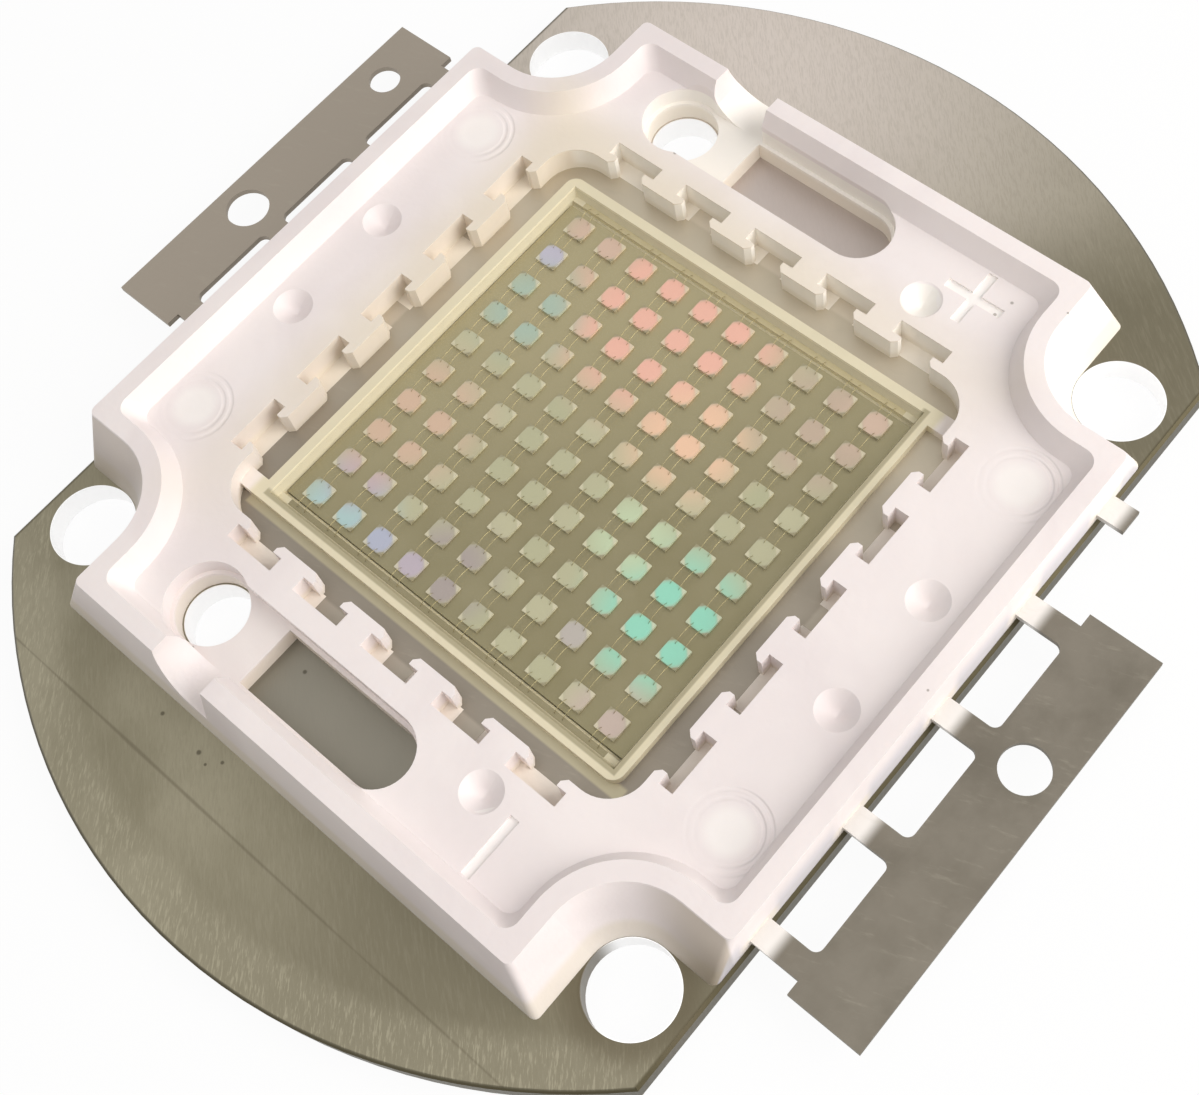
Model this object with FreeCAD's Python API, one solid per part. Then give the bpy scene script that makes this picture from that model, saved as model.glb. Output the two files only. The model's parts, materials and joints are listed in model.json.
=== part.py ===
import FreeCAD, Part
import math
import os

# High-power chip-on-board LED module with a ten by ten field of dies.
# X runs along the long way of the plate, Y across it towards the positive tab, Z is up.
# The origin is the middle of the plate's underside. All sizes are in millimetres.

# Dies, and the clear fill over them
dies_per_side = 10
die_pitch = 2.06
die_side = 1.15
die_thickness = 0.15
fill_height = 0.55

# Base plate: a disc with two flats, and a raised seat that carries the dies
plate_thickness = 1.4
plate_edge_break = 0.15
plate_rim_land = 1.88
plate_flat_land = 0.7
seat_end_margin = 0.305
seat_side_margin = 0.755
seat_height = 0.45
seat_clearance = 0.05
mount_hole_diameter = 4.2
mount_hole_beyond_window = 4.7

# Dam round the die field, with a bridge to the frame at two opposite corners
dam_wall = 0.7
dam_over_fill = 0.1
dam_corner_radius = 0.6
dam_opening_draft = 0.2
bridge_width = 0.95

# Window in the frame, with keyhole shaped notches along each side
moat_width = 1.15
window_corner_radius = 1.9
keys_per_side = 5
key_land = 0.65
key_neck_width = 1.8
key_neck_length = 0.5
key_neck_bevel = 0.25
key_head_width = 2.9
key_head_depth = 0.75

# Frame: one white moulding with a raised rim and four corner notches
frame_height = 3.1
frame_length_draft = 0.85
frame_width_draft = 0.08
frame_corner_radius = 0.35
notch_clear_radius = 3.65
notch_draft = 1.5
rim_width = 0.9
rim_slope_width = 0.6
rim_height = 1.1
rim_corner_radius = 0.8
end_band_width = 4.5

# Slots through the frame, square at one end and round at the other
slot_wall = 1.35
slot_width = 3.2
slot_length = 9.1
slot_ledge = 0.2
slot_to_rim = 0.05

# Screw holes of the frame, with the pocket and the rim gap beside each
frame_hole_y = 8.6
frame_hole_shift = -0.05
frame_hole_diameter = 3.6
plate_hole_step = 0.1
pocket_floor_height = 1.05
pocket_ledge = 0.2
hole_to_slot = 3.6
gap_length = 3.7
gap_scoop_radius = 2.0
gap_scoop_back = 2.5
gap_to_hole = 0.95

# Small marks on the frame
dimple_radius = 1.0
dimple_depth = 0.75
end_dimple_x = 3.15
end_dimple_to_window = 3.05
side_dimple_shift = 0.1
side_dimple_y = -7.4
sign_y = -9.3
sign_length = 3.1
sign_line = 0.5
sign_depth = 0.14

# Lead frames: two stamped strips, each with a rail round two sides of the dam
lead_thickness = 0.3
lead_floor_height = 0.3
rail_cover = 0.45
rail_width = 1.75
rail_end_in_bridge = 0.15
ledge_gap = 0.2
ledge_width = 0.3
ledge_end_gap = 0.65
lug_width = 1.4
lug_bury = 0.55
lugs_per_side = 3
strip_width = 1.25
strip_inset = 0.125
strip_count = 4
strip_count_left = 2
stub_reach = 1.45
tab_gap = 2.55
tab_width = 3.65
tab_overhang = 0.7
tab_hole_inset = 1.87
tab_hole_diameter = 2.3
tab_key_hole_shift = 1.85
tab_key_hole_inset = 1.88
tab_key_hole_diameter = 1.7
tab_slot_radius = 0.4

# Die field, seat and the opening inside the dam. The bond ledges reach in from both ends.
field_side = (dies_per_side - 1) * die_pitch + die_side
seat_half_x = field_side / 2 + seat_end_margin
seat_half_y = field_side / 2 + seat_side_margin
ledge_inner_x = seat_half_x + ledge_gap
opening_half_x = ledge_inner_x + ledge_width
opening_half_y = seat_half_y + seat_clearance

# Dam, rails and window, each outside the one before
dam_half_x = opening_half_x + dam_wall
dam_half_y = opening_half_y + dam_wall
rail_inner_x = opening_half_x + rail_cover
rail_inner_y = opening_half_y + rail_cover
rail_outer_x = rail_inner_x + rail_width
rail_outer_y = rail_inner_y + rail_width
window_half_x = dam_half_x + moat_width
window_half_y = dam_half_y + moat_width
key_back_x = window_half_x + key_neck_length + key_head_depth
key_back_y = window_half_y + key_neck_length + key_head_depth

# Slots, screw holes and mounting holes
slot_inner_x = key_back_x + slot_wall
slot_outer_x = slot_inner_x + slot_width
slot_middle_x = (slot_inner_x + slot_outer_x) / 2
slot_square_end_y = frame_hole_y - hole_to_slot
slot_round_end_y = slot_square_end_y - slot_length
frame_hole_x = slot_middle_x + frame_hole_shift
mount_hole_x = window_half_x + mount_hole_beyond_window
mount_hole_y = window_half_y + mount_hole_beyond_window

# Outlines of the frame and the plate
frame_half_x = slot_outer_x + slot_to_rim + rim_slope_width + rim_width
frame_half_y = key_back_y + end_band_width + rim_slope_width + rim_width
plate_radius = math.hypot(mount_hole_x, mount_hole_y) + mount_hole_diameter / 2 + plate_rim_land
plate_half_width = mount_hole_y + mount_hole_diameter / 2 + plate_flat_land

# Solder tabs and their strips
strip_reach = rail_outer_x - strip_inset - strip_width / 2
strip_pitch = strip_reach / strip_count_left
tab_inner_y = frame_half_y + tab_gap
tab_outer_y = tab_inner_y + tab_width

# Levels, from the underside of the plate
frame_foot = plate_thickness
frame_top = frame_foot + frame_height
frame_face = frame_top - rim_height
seat_top = plate_thickness + seat_height
lead_bottom = frame_foot + lead_floor_height
lead_top = lead_bottom + lead_thickness
fill_top = seat_top + fill_height
dam_top = fill_top + dam_over_fill
pocket_floor = frame_foot + pocket_floor_height
overshoot = 0.5


def point(x, y, z=0.0):
    return FreeCAD.Vector(x, y, z)


def rounded_wire(corners, z):
    """Closed flat wire through corners given as (x, y, radius)."""
    edges = []
    count = len(corners)
    arcs = []
    for index in range(count):
        x, y, radius = corners[index]
        here = point(x, y, z)
        before = point(corners[index - 1][0], corners[index - 1][1], z)
        after = point(corners[(index + 1) % count][0], corners[(index + 1) % count][1], z)
        if radius <= 0:
            arcs.append((here, None, here))
            continue
        back = before.sub(here).normalize()
        forth = after.sub(here).normalize()
        half_angle = back.getAngle(forth) / 2
        reach = radius / math.tan(half_angle)
        bisector = back.add(forth).normalize()
        centre = here.add(bisector * (radius / math.sin(half_angle)))
        middle = centre.sub(bisector * radius)
        arcs.append((here.add(back * reach), middle, here.add(forth * reach)))
    for index in range(count):
        start, middle, end = arcs[index]
        if middle is not None:
            edges.append(Part.Arc(start, middle, end).toShape())
        following = arcs[(index + 1) % count][0]
        if end.distanceToPoint(following) > 1e-6:
            edges.append(Part.LineSegment(end, following).toShape())
    return Part.Wire(edges)


def prism(corners, bottom, top):
    face = Part.Face(rounded_wire(corners, bottom))
    return face.extrude(point(0, 0, top - bottom))


def frustum(lower, bottom, upper, top):
    """Solid between two rectangles (x0, y0, x1, y1), with flat sloping sides."""
    def ring(rect, z):
        x0, y0, x1, y1 = rect
        return [point(x0, y0, z), point(x1, y0, z), point(x1, y1, z), point(x0, y1, z)]

    low = ring(lower, bottom)
    high = ring(upper, top)
    sides = [[low[i - 1], low[i], high[i], high[i - 1]] for i in range(4)]
    faces = [Part.Face(Part.makePolygon(side + side[:1])) for side in [low, high] + sides]
    solid = Part.Solid(Part.Shell(faces))
    if solid.Volume < 0:
        solid.reverse()
    return solid


def centred_rect(half_x, half_y):
    return (-half_x, -half_y, half_x, half_y)


def rectangle(x0, y0, x1, y1, radius=0.0):
    return [(x0, y0, radius), (x1, y0, radius), (x1, y1, radius), (x0, y1, radius)]


def centred_rectangle(half_x, half_y, radius=0.0):
    return rectangle(-half_x, -half_y, half_x, half_y, radius)


def block(x0, y0, x1, y1, bottom, top):
    corner = point(min(x0, x1), min(y0, y1), bottom)
    return Part.makeBox(abs(x1 - x0), abs(y1 - y0), top - bottom, corner)


def drum(x, y, radius, bottom, top):
    return Part.makeCylinder(radius, top - bottom, point(x, y, bottom))


def turned(shape):
    """Copy turned half a turn about the middle of the module."""
    copy = shape.copy()
    copy.rotate(point(0, 0), point(0, 0, 1), 180)
    return copy


def mirrored(shape):
    """Copy mirrored to the other end of the long axis."""
    return shape.mirror(point(0, 0), point(1, 0, 0))


def four_corners(x, y):
    return [(sx * x, sy * y) for sx in (-1, 1) for sy in (-1, 1)]


def centred_steps(count, pitch):
    return [(index - (count - 1) / 2) * pitch for index in range(count)]


def key_middles(window_half):
    """Middles of the keyhole notches along a side of the window, clear of its rounded corners."""
    last = window_half - window_corner_radius - key_land - key_neck_bevel - key_neck_width / 2
    return centred_steps(keys_per_side, 2 * last / (keys_per_side - 1))


# Base plate

def make_base_plate():
    disc = drum(0, 0, plate_radius, 0, plate_thickness)
    across = block(
        -plate_radius, -plate_half_width, plate_radius, plate_half_width, 0, plate_thickness
    )
    plate = disc.common(across)
    rim_edges = [edge for edge in plate.Edges if abs(edge.BoundBox.ZMin - plate_thickness) < 1e-6]
    plate = plate.makeChamfer(plate_edge_break, rim_edges)
    seat = block(-seat_half_x, -seat_half_y, seat_half_x, seat_half_y, plate_thickness / 2, seat_top)
    plate = plate.fuse(seat).removeSplitter()
    hole_radius = mount_hole_diameter / 2
    cuts = []
    for x, y in four_corners(mount_hole_x, mount_hole_y):
        cuts.append(drum(x, y, hole_radius, -overshoot, plate_thickness + overshoot))
    for side in (-1, 1):
        screw_hole = drum(
            side * frame_hole_x,
            frame_hole_y,
            frame_hole_diameter / 2 - plate_hole_step,
            -overshoot,
            plate_thickness + overshoot,
        )
        cuts.append(screw_hole)
    return plate.cut(cuts)


# Lead frames

def rail_and_lugs():
    """Rail of the negative lead frame, with its bond ledge inside the left side of the dam."""
    near_end_x = dam_half_x - bridge_width + rail_end_in_bridge
    ledge_half = opening_half_y - ledge_end_gap
    lug_end_x = key_back_x + lug_bury
    left = block(-rail_outer_x, -rail_outer_y, -rail_inner_x, rail_outer_y, lead_bottom, lead_top)
    near = block(-rail_outer_x, -rail_outer_y, near_end_x, -rail_inner_y, lead_bottom, lead_top)
    ledge = block(-rail_outer_x, -ledge_half, -ledge_inner_x, ledge_half, lead_bottom, lead_top)
    pieces = [near, ledge]
    spare = (keys_per_side - lugs_per_side) // 2
    for y in key_middles(window_half_y)[spare:spare + lugs_per_side]:
        pieces.append(
            block(-lug_end_x, y - lug_width / 2, -rail_inner_x, y + lug_width / 2, lead_bottom, lead_top)
        )
    return left.fuse(pieces)


def strips_and_tab():
    """Connecting strips and solder tab on the near side, with the trimmed strip on the far one."""
    half = strip_width / 2
    stub_end_y = frame_half_y + stub_reach
    strip_places = [index * strip_pitch - strip_reach for index in range(strip_count)]
    first = strip_places[0]
    pieces = []
    for x in strip_places:
        pieces.append(block(x - half, -tab_inner_y, x + half, -rail_outer_y, lead_bottom, lead_top))
    pieces.append(block(first - half, rail_outer_y, first + half, stub_end_y, lead_bottom, lead_top))
    tab_left = first - half - tab_overhang
    tab_right = strip_places[-1] + half + tab_overhang
    tab = block(tab_left, -tab_outer_y, tab_right, -tab_inner_y, lead_bottom, lead_top)
    for x in strip_places[:-1]:
        gap_left = x + half
        gap_right = x + strip_pitch - half
        for corner_x, way in ((gap_left, 1), (gap_right, -1)):
            web = [
                (corner_x, -tab_inner_y, 0),
                (corner_x + way * tab_slot_radius, -tab_inner_y, 0),
                (corner_x, -tab_inner_y + tab_slot_radius, 0),
            ]
            corner = prism(web, lead_bottom, lead_top)
            hollow = drum(
                corner_x + way * tab_slot_radius,
                -tab_inner_y + tab_slot_radius,
                tab_slot_radius,
                lead_bottom - overshoot,
                lead_top + overshoot,
            )
            pieces.append(corner.cut(hollow))
    return tab.fuse(pieces).cut(tab_hole(0, -tab_inner_y - tab_hole_inset, tab_hole_diameter))


def tab_hole(x, y, diameter):
    return drum(x, y, diameter / 2, lead_bottom - overshoot, lead_top + overshoot)


def make_lead_frame():
    return rail_and_lugs().fuse(strips_and_tab()).removeSplitter()


def make_positive_lead_frame(negative):
    key_hole = tab_hole(
        strip_reach - tab_key_hole_shift, tab_inner_y + tab_key_hole_inset, tab_key_hole_diameter
    )
    return turned(negative).cut(key_hole)


# Frame

def notch_tool(x_way, y_way, clear_low, bottom, clear_high, top):
    """Corner region that keeps the given distance from the middle of a mounting hole."""
    x = mount_hole_x
    y = mount_hole_y
    far = 2 * plate_radius
    round_part = Part.makeCone(clear_low, clear_high, top - bottom, point(x, y, bottom))
    beyond_x = frustum((x - clear_low, y, far, far), bottom, (x - clear_high, y, far, far), top)
    beyond_y = frustum((x, y - clear_low, far, far), bottom, (x, y - clear_high, far, far), top)
    tool = round_part.fuse([beyond_x, beyond_y])
    if x_way < 0:
        tool = tool.mirror(point(0, 0), point(1, 0, 0))
    if y_way < 0:
        tool = tool.mirror(point(0, 0), point(0, 1, 0))
    return tool


def notched_block(inset_low, clear_low, bottom, inset_high, clear_high, top):
    """Block with four notched corners; insets are taken from the top edge of the frame."""
    block_low = centred_rect(frame_half_x - inset_low[0], frame_half_y - inset_low[1])
    block_high = centred_rect(frame_half_x - inset_high[0], frame_half_y - inset_high[1])
    body = frustum(block_low, bottom, block_high, top)
    tools = [
        notch_tool(x_way, y_way, clear_low, bottom, clear_high, top)
        for x_way, y_way in four_corners(1, 1)
    ]
    return body.cut(tools)


def round_corner_edges(body, radius):
    """Round the outer corners: straight edges that rise all the way and lie at the outside."""
    box = body.BoundBox
    corners = []
    for edge in body.Edges:
        rises = edge.BoundBox.ZLength > box.ZLength - 1e-6
        middle = edge.CenterOfMass
        at_end = abs(middle.x) > mount_hole_x + 1e-3
        at_side = abs(middle.y) > mount_hole_y + 1e-3
        if rises and (at_end or at_side) and isinstance(edge.Curve, Part.Line):
            corners.append(edge)
    return body.makeFillet(radius, corners)


def frame_body():
    body = notched_block(
        (-frame_length_draft, -frame_width_draft),
        notch_clear_radius - notch_draft,
        frame_foot,
        (0, 0),
        notch_clear_radius,
        frame_top,
    )
    return round_corner_edges(body, frame_corner_radius)


def rim_recess():
    """Hollow inside the raised rim, down to the face of the frame, with a sloped side."""
    wide = rim_width + rim_slope_width
    hollow = notched_block(
        (wide, wide),
        notch_clear_radius + wide,
        frame_face,
        (rim_width, rim_width),
        notch_clear_radius + rim_width,
        frame_top,
    )
    return round_corner_edges(hollow, rim_corner_radius)


def key_notch_corners(middle, edge):
    """Corners of one keyhole notch, from left to right, in the side of the window at y = edge."""
    shoulder = edge - key_neck_length
    back = shoulder - key_head_depth
    neck = key_neck_width / 2
    bevel = key_neck_bevel
    head = key_head_width / 2
    return [
        (middle - neck - bevel, edge, 0),
        (middle - neck, edge - bevel, 0),
        (middle - neck, shoulder, 0),
        (middle - head, shoulder, 0),
        (middle - head, back, 0),
        (middle + head, back, 0),
        (middle + head, shoulder, 0),
        (middle + neck, shoulder, 0),
        (middle + neck, edge - bevel, 0),
        (middle + neck + bevel, edge, 0),
    ]


def window_outline():
    """Window of the frame: rounded corners, and a row of keyhole notches on each side."""
    outline = []
    for quarter_turn in range(4):
        along, away = (window_half_x, window_half_y)[::(1, -1)[quarter_turn % 2]]
        side = [(-along, -away, window_corner_radius)]
        for middle in key_middles(along):
            side += key_notch_corners(middle, -away)
        cosine = (1, 0, -1, 0)[quarter_turn]
        sine = (0, 1, 0, -1)[quarter_turn]
        outline += [(x * cosine - y * sine, x * sine + y * cosine, r) for x, y, r in side]
    return outline


def dam_opening():
    """Free space inside the dam: round the seat below, and drafted above the ledges."""
    half_x = seat_half_x + seat_clearance
    round_seat = block(-half_x, -opening_half_y, half_x, opening_half_y, frame_foot, lead_top)
    between_ledges = block(
        -ledge_inner_x, -opening_half_y, ledge_inner_x, opening_half_y, lead_bottom, lead_top
    )
    upper = frustum(
        centred_rect(opening_half_x, opening_half_y),
        lead_top,
        centred_rect(opening_half_x + dam_opening_draft, opening_half_y + dam_opening_draft),
        dam_top,
    )
    return round_seat.fuse([between_ledges, upper])


def dam_and_bridges():
    outline = centred_rectangle(dam_half_x, dam_half_y, dam_corner_radius)
    dam = prism(outline, frame_foot, dam_top)
    bridge = block(-dam_half_x, 0, -dam_half_x + bridge_width, window_half_y, frame_foot, dam_top)
    return dam.fuse([bridge, turned(bridge)])


def screw_pocket():
    """Pocket at the right end: round at the screw hole and round the end of the slot."""
    half = slot_width / 2 + slot_ledge
    left = slot_middle_x - half
    right = slot_middle_x + half
    round_end_y = slot_round_end_y + slot_width / 2
    around_radius = frame_hole_diameter / 2 + pocket_ledge
    top = frame_top + overshoot
    around_hole = drum(frame_hole_x, frame_hole_y, around_radius, pocket_floor, top)
    along_slot = block(left, round_end_y, right, frame_hole_y, pocket_floor, top)
    round_end = drum(slot_middle_x, round_end_y, half, pocket_floor, top)
    return around_hole.fuse([along_slot, round_end])


def rim_gap():
    """Gap through the rim beside the screw hole: square at one end, scooped at the other."""
    inner_x = frame_hole_x + gap_to_hole
    outer_x = frame_half_x + frame_length_draft + overshoot
    start_y = frame_hole_y - gap_length
    scoop_y = frame_hole_y - gap_scoop_back
    top = frame_top + overshoot
    square_part = block(inner_x, start_y, outer_x, scoop_y, pocket_floor, top)
    scoop_centre = point(inner_x, scoop_y, pocket_floor + gap_scoop_radius)
    scoop = Part.makeCylinder(gap_scoop_radius, outer_x - inner_x, scoop_centre, point(1, 0, 0))
    keep_side = block(inner_x, scoop_y, outer_x, scoop_y + gap_scoop_radius, pocket_floor, top)
    return square_part.fuse(scoop.common(keep_side))


def side_slot():
    """Slot down to the plate beside the screw hole at the right end."""
    round_end_y = slot_round_end_y + slot_width / 2
    top = frame_top + overshoot
    long_part = block(slot_inner_x, round_end_y, slot_outer_x, slot_square_end_y, frame_foot, top)
    return long_part.fuse(drum(slot_middle_x, round_end_y, slot_width / 2, frame_foot, top))


def dimple(x, y):
    """Tapered dimple in the face of the frame, down to a point."""
    tip = point(x, y, frame_face - dimple_depth)
    return Part.makeCone(0, dimple_radius, dimple_depth, tip)


def sign_bar(x, y, length_x, length_y):
    bottom = frame_face - sign_depth
    top = frame_face + overshoot
    return block(x - length_x / 2, y - length_y / 2, x + length_x / 2, y + length_y / 2, bottom, top)


def frame_cuts():
    right_end = [screw_pocket(), rim_gap(), side_slot()]
    right_end.append(
        drum(frame_hole_x, frame_hole_y, frame_hole_diameter / 2, frame_foot - overshoot, frame_top)
    )
    cuts = right_end + [mirrored(cut) for cut in right_end]
    for x, y in four_corners(end_dimple_x, key_back_y + end_dimple_to_window):
        cuts.append(dimple(x, y))
    for side in (-1, 1):
        cuts.append(dimple(side * (slot_inner_x + side_dimple_shift), side_dimple_y))
        cuts.append(sign_bar(side * slot_middle_x, sign_y, sign_length, sign_line))
    cuts.append(sign_bar(slot_middle_x, sign_y, sign_line, sign_length))
    return cuts


def make_frame(lead_frames):
    body = frame_body().cut(rim_recess())
    body = body.cut(prism(window_outline(), lead_top, frame_top + overshoot))
    body = body.fuse(dam_and_bridges())
    body = body.cut(dam_opening())
    body = body.cut(frame_cuts())
    return body.cut(lead_frames)


# Dies and clear fill

def make_die_string(y):
    """One series string of dies along X, as separate solids."""
    half = die_side / 2
    dies = []
    for x in centred_steps(dies_per_side, die_pitch):
        dies.append(block(x - half, y - half, x + half, y + half, seat_top, seat_top + die_thickness))
    return Part.makeCompound(dies)


def make_fill(seat, die_strings):
    """Clear silicone inside the dam, over the seat, the ledges and the dies."""
    layer = block(-dam_half_x, -dam_half_y, dam_half_x, dam_half_y, lead_bottom, fill_top)
    return dam_opening().common(layer).cut([seat] + die_strings)


def build_parts():
    negative = make_lead_frame()
    positive = make_positive_lead_frame(negative)
    strings = [make_die_string(y) for y in centred_steps(dies_per_side, die_pitch)]
    plate = make_base_plate()
    parts = {
        "base_plate": plate,
        "frame": make_frame([negative, positive]),
        "negative_lead_frame": negative,
        "positive_lead_frame": positive,
        "silicone_fill": make_fill(plate, strings),
    }
    for number, string in enumerate(strings, start=1):
        parts[f"die_string_{number:02d}"] = string
    return parts


def main():
    os.makedirs("parts", exist_ok=True)
    for name, shape in build_parts().items():
        solids = shape.Solids
        result = solids[0] if len(solids) == 1 else Part.makeCompound(solids)
        result.exportStep(f"parts/{name}.step")
        box = result.BoundBox
        print(f"{name}: {len(solids)} solid(s), {result.Volume:.2f} mm3, valid {result.isValid()}, "
              f"{box.XLength:.2f} x {box.YLength:.2f} x {box.ZLength:.2f}")


main()
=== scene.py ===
# %% [markdown]
# # A chip-on-board LED module
# This lesson dresses a finished engineering model of an LED module: a round metal plate, a white
# moulded frame, two stamped lead frames and a field of a hundred bare dies. The engineering solids
# are loaded first and stay where they are. Everything that follows gives them their real surfaces
# and adds the pieces that are too fine for the solids, such as the gold wires from die to die.

# %% Load the engineering model
import json
import math

import bmesh
import bpy
from mathutils import Euler, Matrix, Vector


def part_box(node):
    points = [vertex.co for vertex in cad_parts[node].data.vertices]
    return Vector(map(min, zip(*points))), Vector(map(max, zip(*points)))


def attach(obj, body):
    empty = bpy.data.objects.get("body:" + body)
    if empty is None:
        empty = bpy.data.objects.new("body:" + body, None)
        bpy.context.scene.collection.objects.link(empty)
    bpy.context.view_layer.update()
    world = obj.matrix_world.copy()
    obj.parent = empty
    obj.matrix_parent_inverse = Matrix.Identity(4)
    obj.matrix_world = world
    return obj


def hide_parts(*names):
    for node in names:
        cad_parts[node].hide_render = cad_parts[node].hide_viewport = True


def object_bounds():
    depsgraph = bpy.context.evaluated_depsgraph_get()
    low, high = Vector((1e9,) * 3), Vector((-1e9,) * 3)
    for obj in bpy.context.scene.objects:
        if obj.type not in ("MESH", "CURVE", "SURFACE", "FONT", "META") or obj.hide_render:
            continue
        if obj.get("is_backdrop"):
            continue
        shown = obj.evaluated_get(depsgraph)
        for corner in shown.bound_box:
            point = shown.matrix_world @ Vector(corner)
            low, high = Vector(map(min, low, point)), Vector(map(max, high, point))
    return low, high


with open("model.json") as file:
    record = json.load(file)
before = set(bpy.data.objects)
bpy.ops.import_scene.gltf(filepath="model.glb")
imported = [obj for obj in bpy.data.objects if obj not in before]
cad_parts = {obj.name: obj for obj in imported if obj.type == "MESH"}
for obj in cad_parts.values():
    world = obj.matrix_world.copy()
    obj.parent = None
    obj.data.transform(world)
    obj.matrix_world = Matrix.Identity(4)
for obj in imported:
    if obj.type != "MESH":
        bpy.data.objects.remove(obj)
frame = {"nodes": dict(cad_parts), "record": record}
nodes = frame["nodes"]
cad_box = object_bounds()
print("nodes:", len(nodes))

# %% [markdown]
# ## The camera
# A photograph of a small flat object tells where its camera stood: the grid of dies is a ruler on
# the object, and the edges at other heights shift against it. The place, the turn and the lens
# below come from such a fit. The shift moves the picture in the frame without turning the camera.

# %% Camera
MM = 0.001
PHOTO_WIDTH, PHOTO_HEIGHT = 1199, 1095
PHOTO_FOCAL = 1704.3            # focal length in pixels of the photograph
PHOTO_CENTRE = (666.1, 535.2)   # where the lens axis meets the photograph, in pixels
CAMERA_PLACE = Vector((-21.41, -32.75, 71.22)) * MM
CAMERA_TURN = (25.624, 6.259, -49.438)

camera_data = bpy.data.cameras.new("camera")
camera_data.sensor_width = 36
camera_data.lens = PHOTO_FOCAL * camera_data.sensor_width / PHOTO_WIDTH
camera_data.shift_x = (PHOTO_WIDTH / 2 - PHOTO_CENTRE[0]) / PHOTO_WIDTH
camera_data.shift_y = (PHOTO_CENTRE[1] - PHOTO_HEIGHT / 2) / PHOTO_WIDTH
camera_data.clip_start = 1 * MM
camera = bpy.data.objects.new("camera", camera_data)
camera.location = CAMERA_PLACE
camera.rotation_euler = Euler([math.radians(angle) for angle in CAMERA_TURN])
bpy.context.collection.objects.link(camera)
bpy.context.scene.camera = camera
bpy.context.scene.view_settings.view_transform = "Standard"
print("lens in mm:", round(camera_data.lens, 2))

# %% [markdown]
# ## Sizes that the pieces share
# New pieces have to sit on the engineering solids, so their places are read from the boxes of those
# solids instead of being typed in again. The pitch of the dies follows from the first and the last
# string of dies. Materials work in millimetres, because a real mark is measured in them.

# %% Sizes read from the solids
STRINGS = sorted(name for name in nodes if name.startswith("die_string"))
first_low, first_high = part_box(STRINGS[0])
last_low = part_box(STRINGS[-1])[0]
plate_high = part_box("base_plate")[1]
frame_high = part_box("frame")[1]
strip_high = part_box("negative_lead_frame")[1]
fill_low, fill_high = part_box("silicone_fill")

DIE_SIDE = first_high.y - first_low.y
DIE_PITCH = (last_low.y - first_low.y) / (len(STRINGS) - 1)
DIE_TOP = first_high.z
PLATE_RADIUS_MM = plate_high.x / MM
PLATE_FLAT_MM = plate_high.y / MM
RIM_TOP_MM = frame_high.z / MM
STRIP_TOP_MM = strip_high.z / MM
print("die side and pitch in mm:", round(DIE_SIDE / MM, 3), round(DIE_PITCH / MM, 3))
print("tops of rim and strip in mm:", round(RIM_TOP_MM, 3), round(STRIP_TOP_MM, 3))

# %% Levels and borders that the boxes don't tell, in millimetres
FACE_LEVEL = 3.4                # the skin of the frame inside its rim
SEAT_LEVEL = 1.85               # the raised part of the plate under the dies
INSIDE_DAM = (11.2, 11.0)       # from outside to inside the middle of the dam's wall
DAM_FOOT = (11.9, 11.5)         # from the floor beside the dam to its outer side
SLOT_BORDER = (19.2, 19.0)      # just past the outer walls of the slots
SLOT_HALF = (7.2, 7.0)          # just past their ends
print("the face lies", round(RIM_TOP_MM - FACE_LEVEL, 2), "mm below the top of the rim")

# %% [markdown]
# ## Helpers for materials
# A shader is a graph of nodes. One helper adds any node, sets its options and makes its links, so
# that a material reads as a list of what it is made of. Another turns a colour, written as in a
# paint program, into the linear numbers that the renderer works with. The rest put a few nodes
# together into something a material needs often: where a point is, how far it is from a spot, a
# layer of paint under a mask, and marks rubbed in one direction.

# %% The one helper that adds nodes
def linear(hex_colour):
    """Linear RGBA of an sRGB colour such as "#E8DEE0"."""
    channels = [int(hex_colour[i:i + 2], 16) / 255 for i in (1, 3, 5)]
    bent = [c / 12.92 if c <= 0.04045 else ((c + 0.055) / 1.055) ** 2.4 for c in channels]
    return (*bent, 1.0)


def add(tree, kind, *values, take=0, **named):
    """Adds a node of that kind and gives back one of its outputs.

    The values fill the inputs in their order. A value is a number, a colour such as "#E8DEE0", an
    output of another node, or None to leave that input alone. A named value is an input when its
    name starts with a capital letter, and an option of the node when it doesn't.
    """
    node = tree.nodes.new("ShaderNode" + kind)
    for name, value in named.items():
        if name[0].islower():
            setattr(node, name, value)
    pairs = list(zip([socket for socket in node.inputs if socket.enabled], values))
    pairs += [(node.inputs[name.replace("_", " ")], value)
              for name, value in named.items() if name[0].isupper()]
    for socket, value in pairs:
        if isinstance(value, bpy.types.NodeSocket):
            tree.links.new(value, socket)
        elif isinstance(value, str):
            socket.default_value = linear(value)
        elif value is not None:
            socket.default_value = value
    if isinstance(take, str):
        return node.outputs[take]
    ready = [socket for socket in node.outputs if socket.enabled]
    return ready[take] if ready else None


SMOOTH = {"interpolation_type": "SMOOTHSTEP"}   # a soft rise from one value to another
COLOUR = {"data_type": "RGBA"}
TIMES = {"operation": "MULTIPLY"}
MINUS = {"operation": "SUBTRACT"}
TIMES_PLUS = {"operation": "MULTIPLY_ADD"}
print("one helper adds every node")

# %% Places and distances
def place_mm(tree):
    """The place on the piece in millimetres, whole and as separate X, Y and Z."""
    place = add(tree, "VectorMath", add(tree, "TexCoord", take="Object"), Scale=1 / MM, operation="SCALE")
    x, y, z = add(tree, "SeparateXYZ", place).node.outputs
    return place, x, y, z


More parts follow.
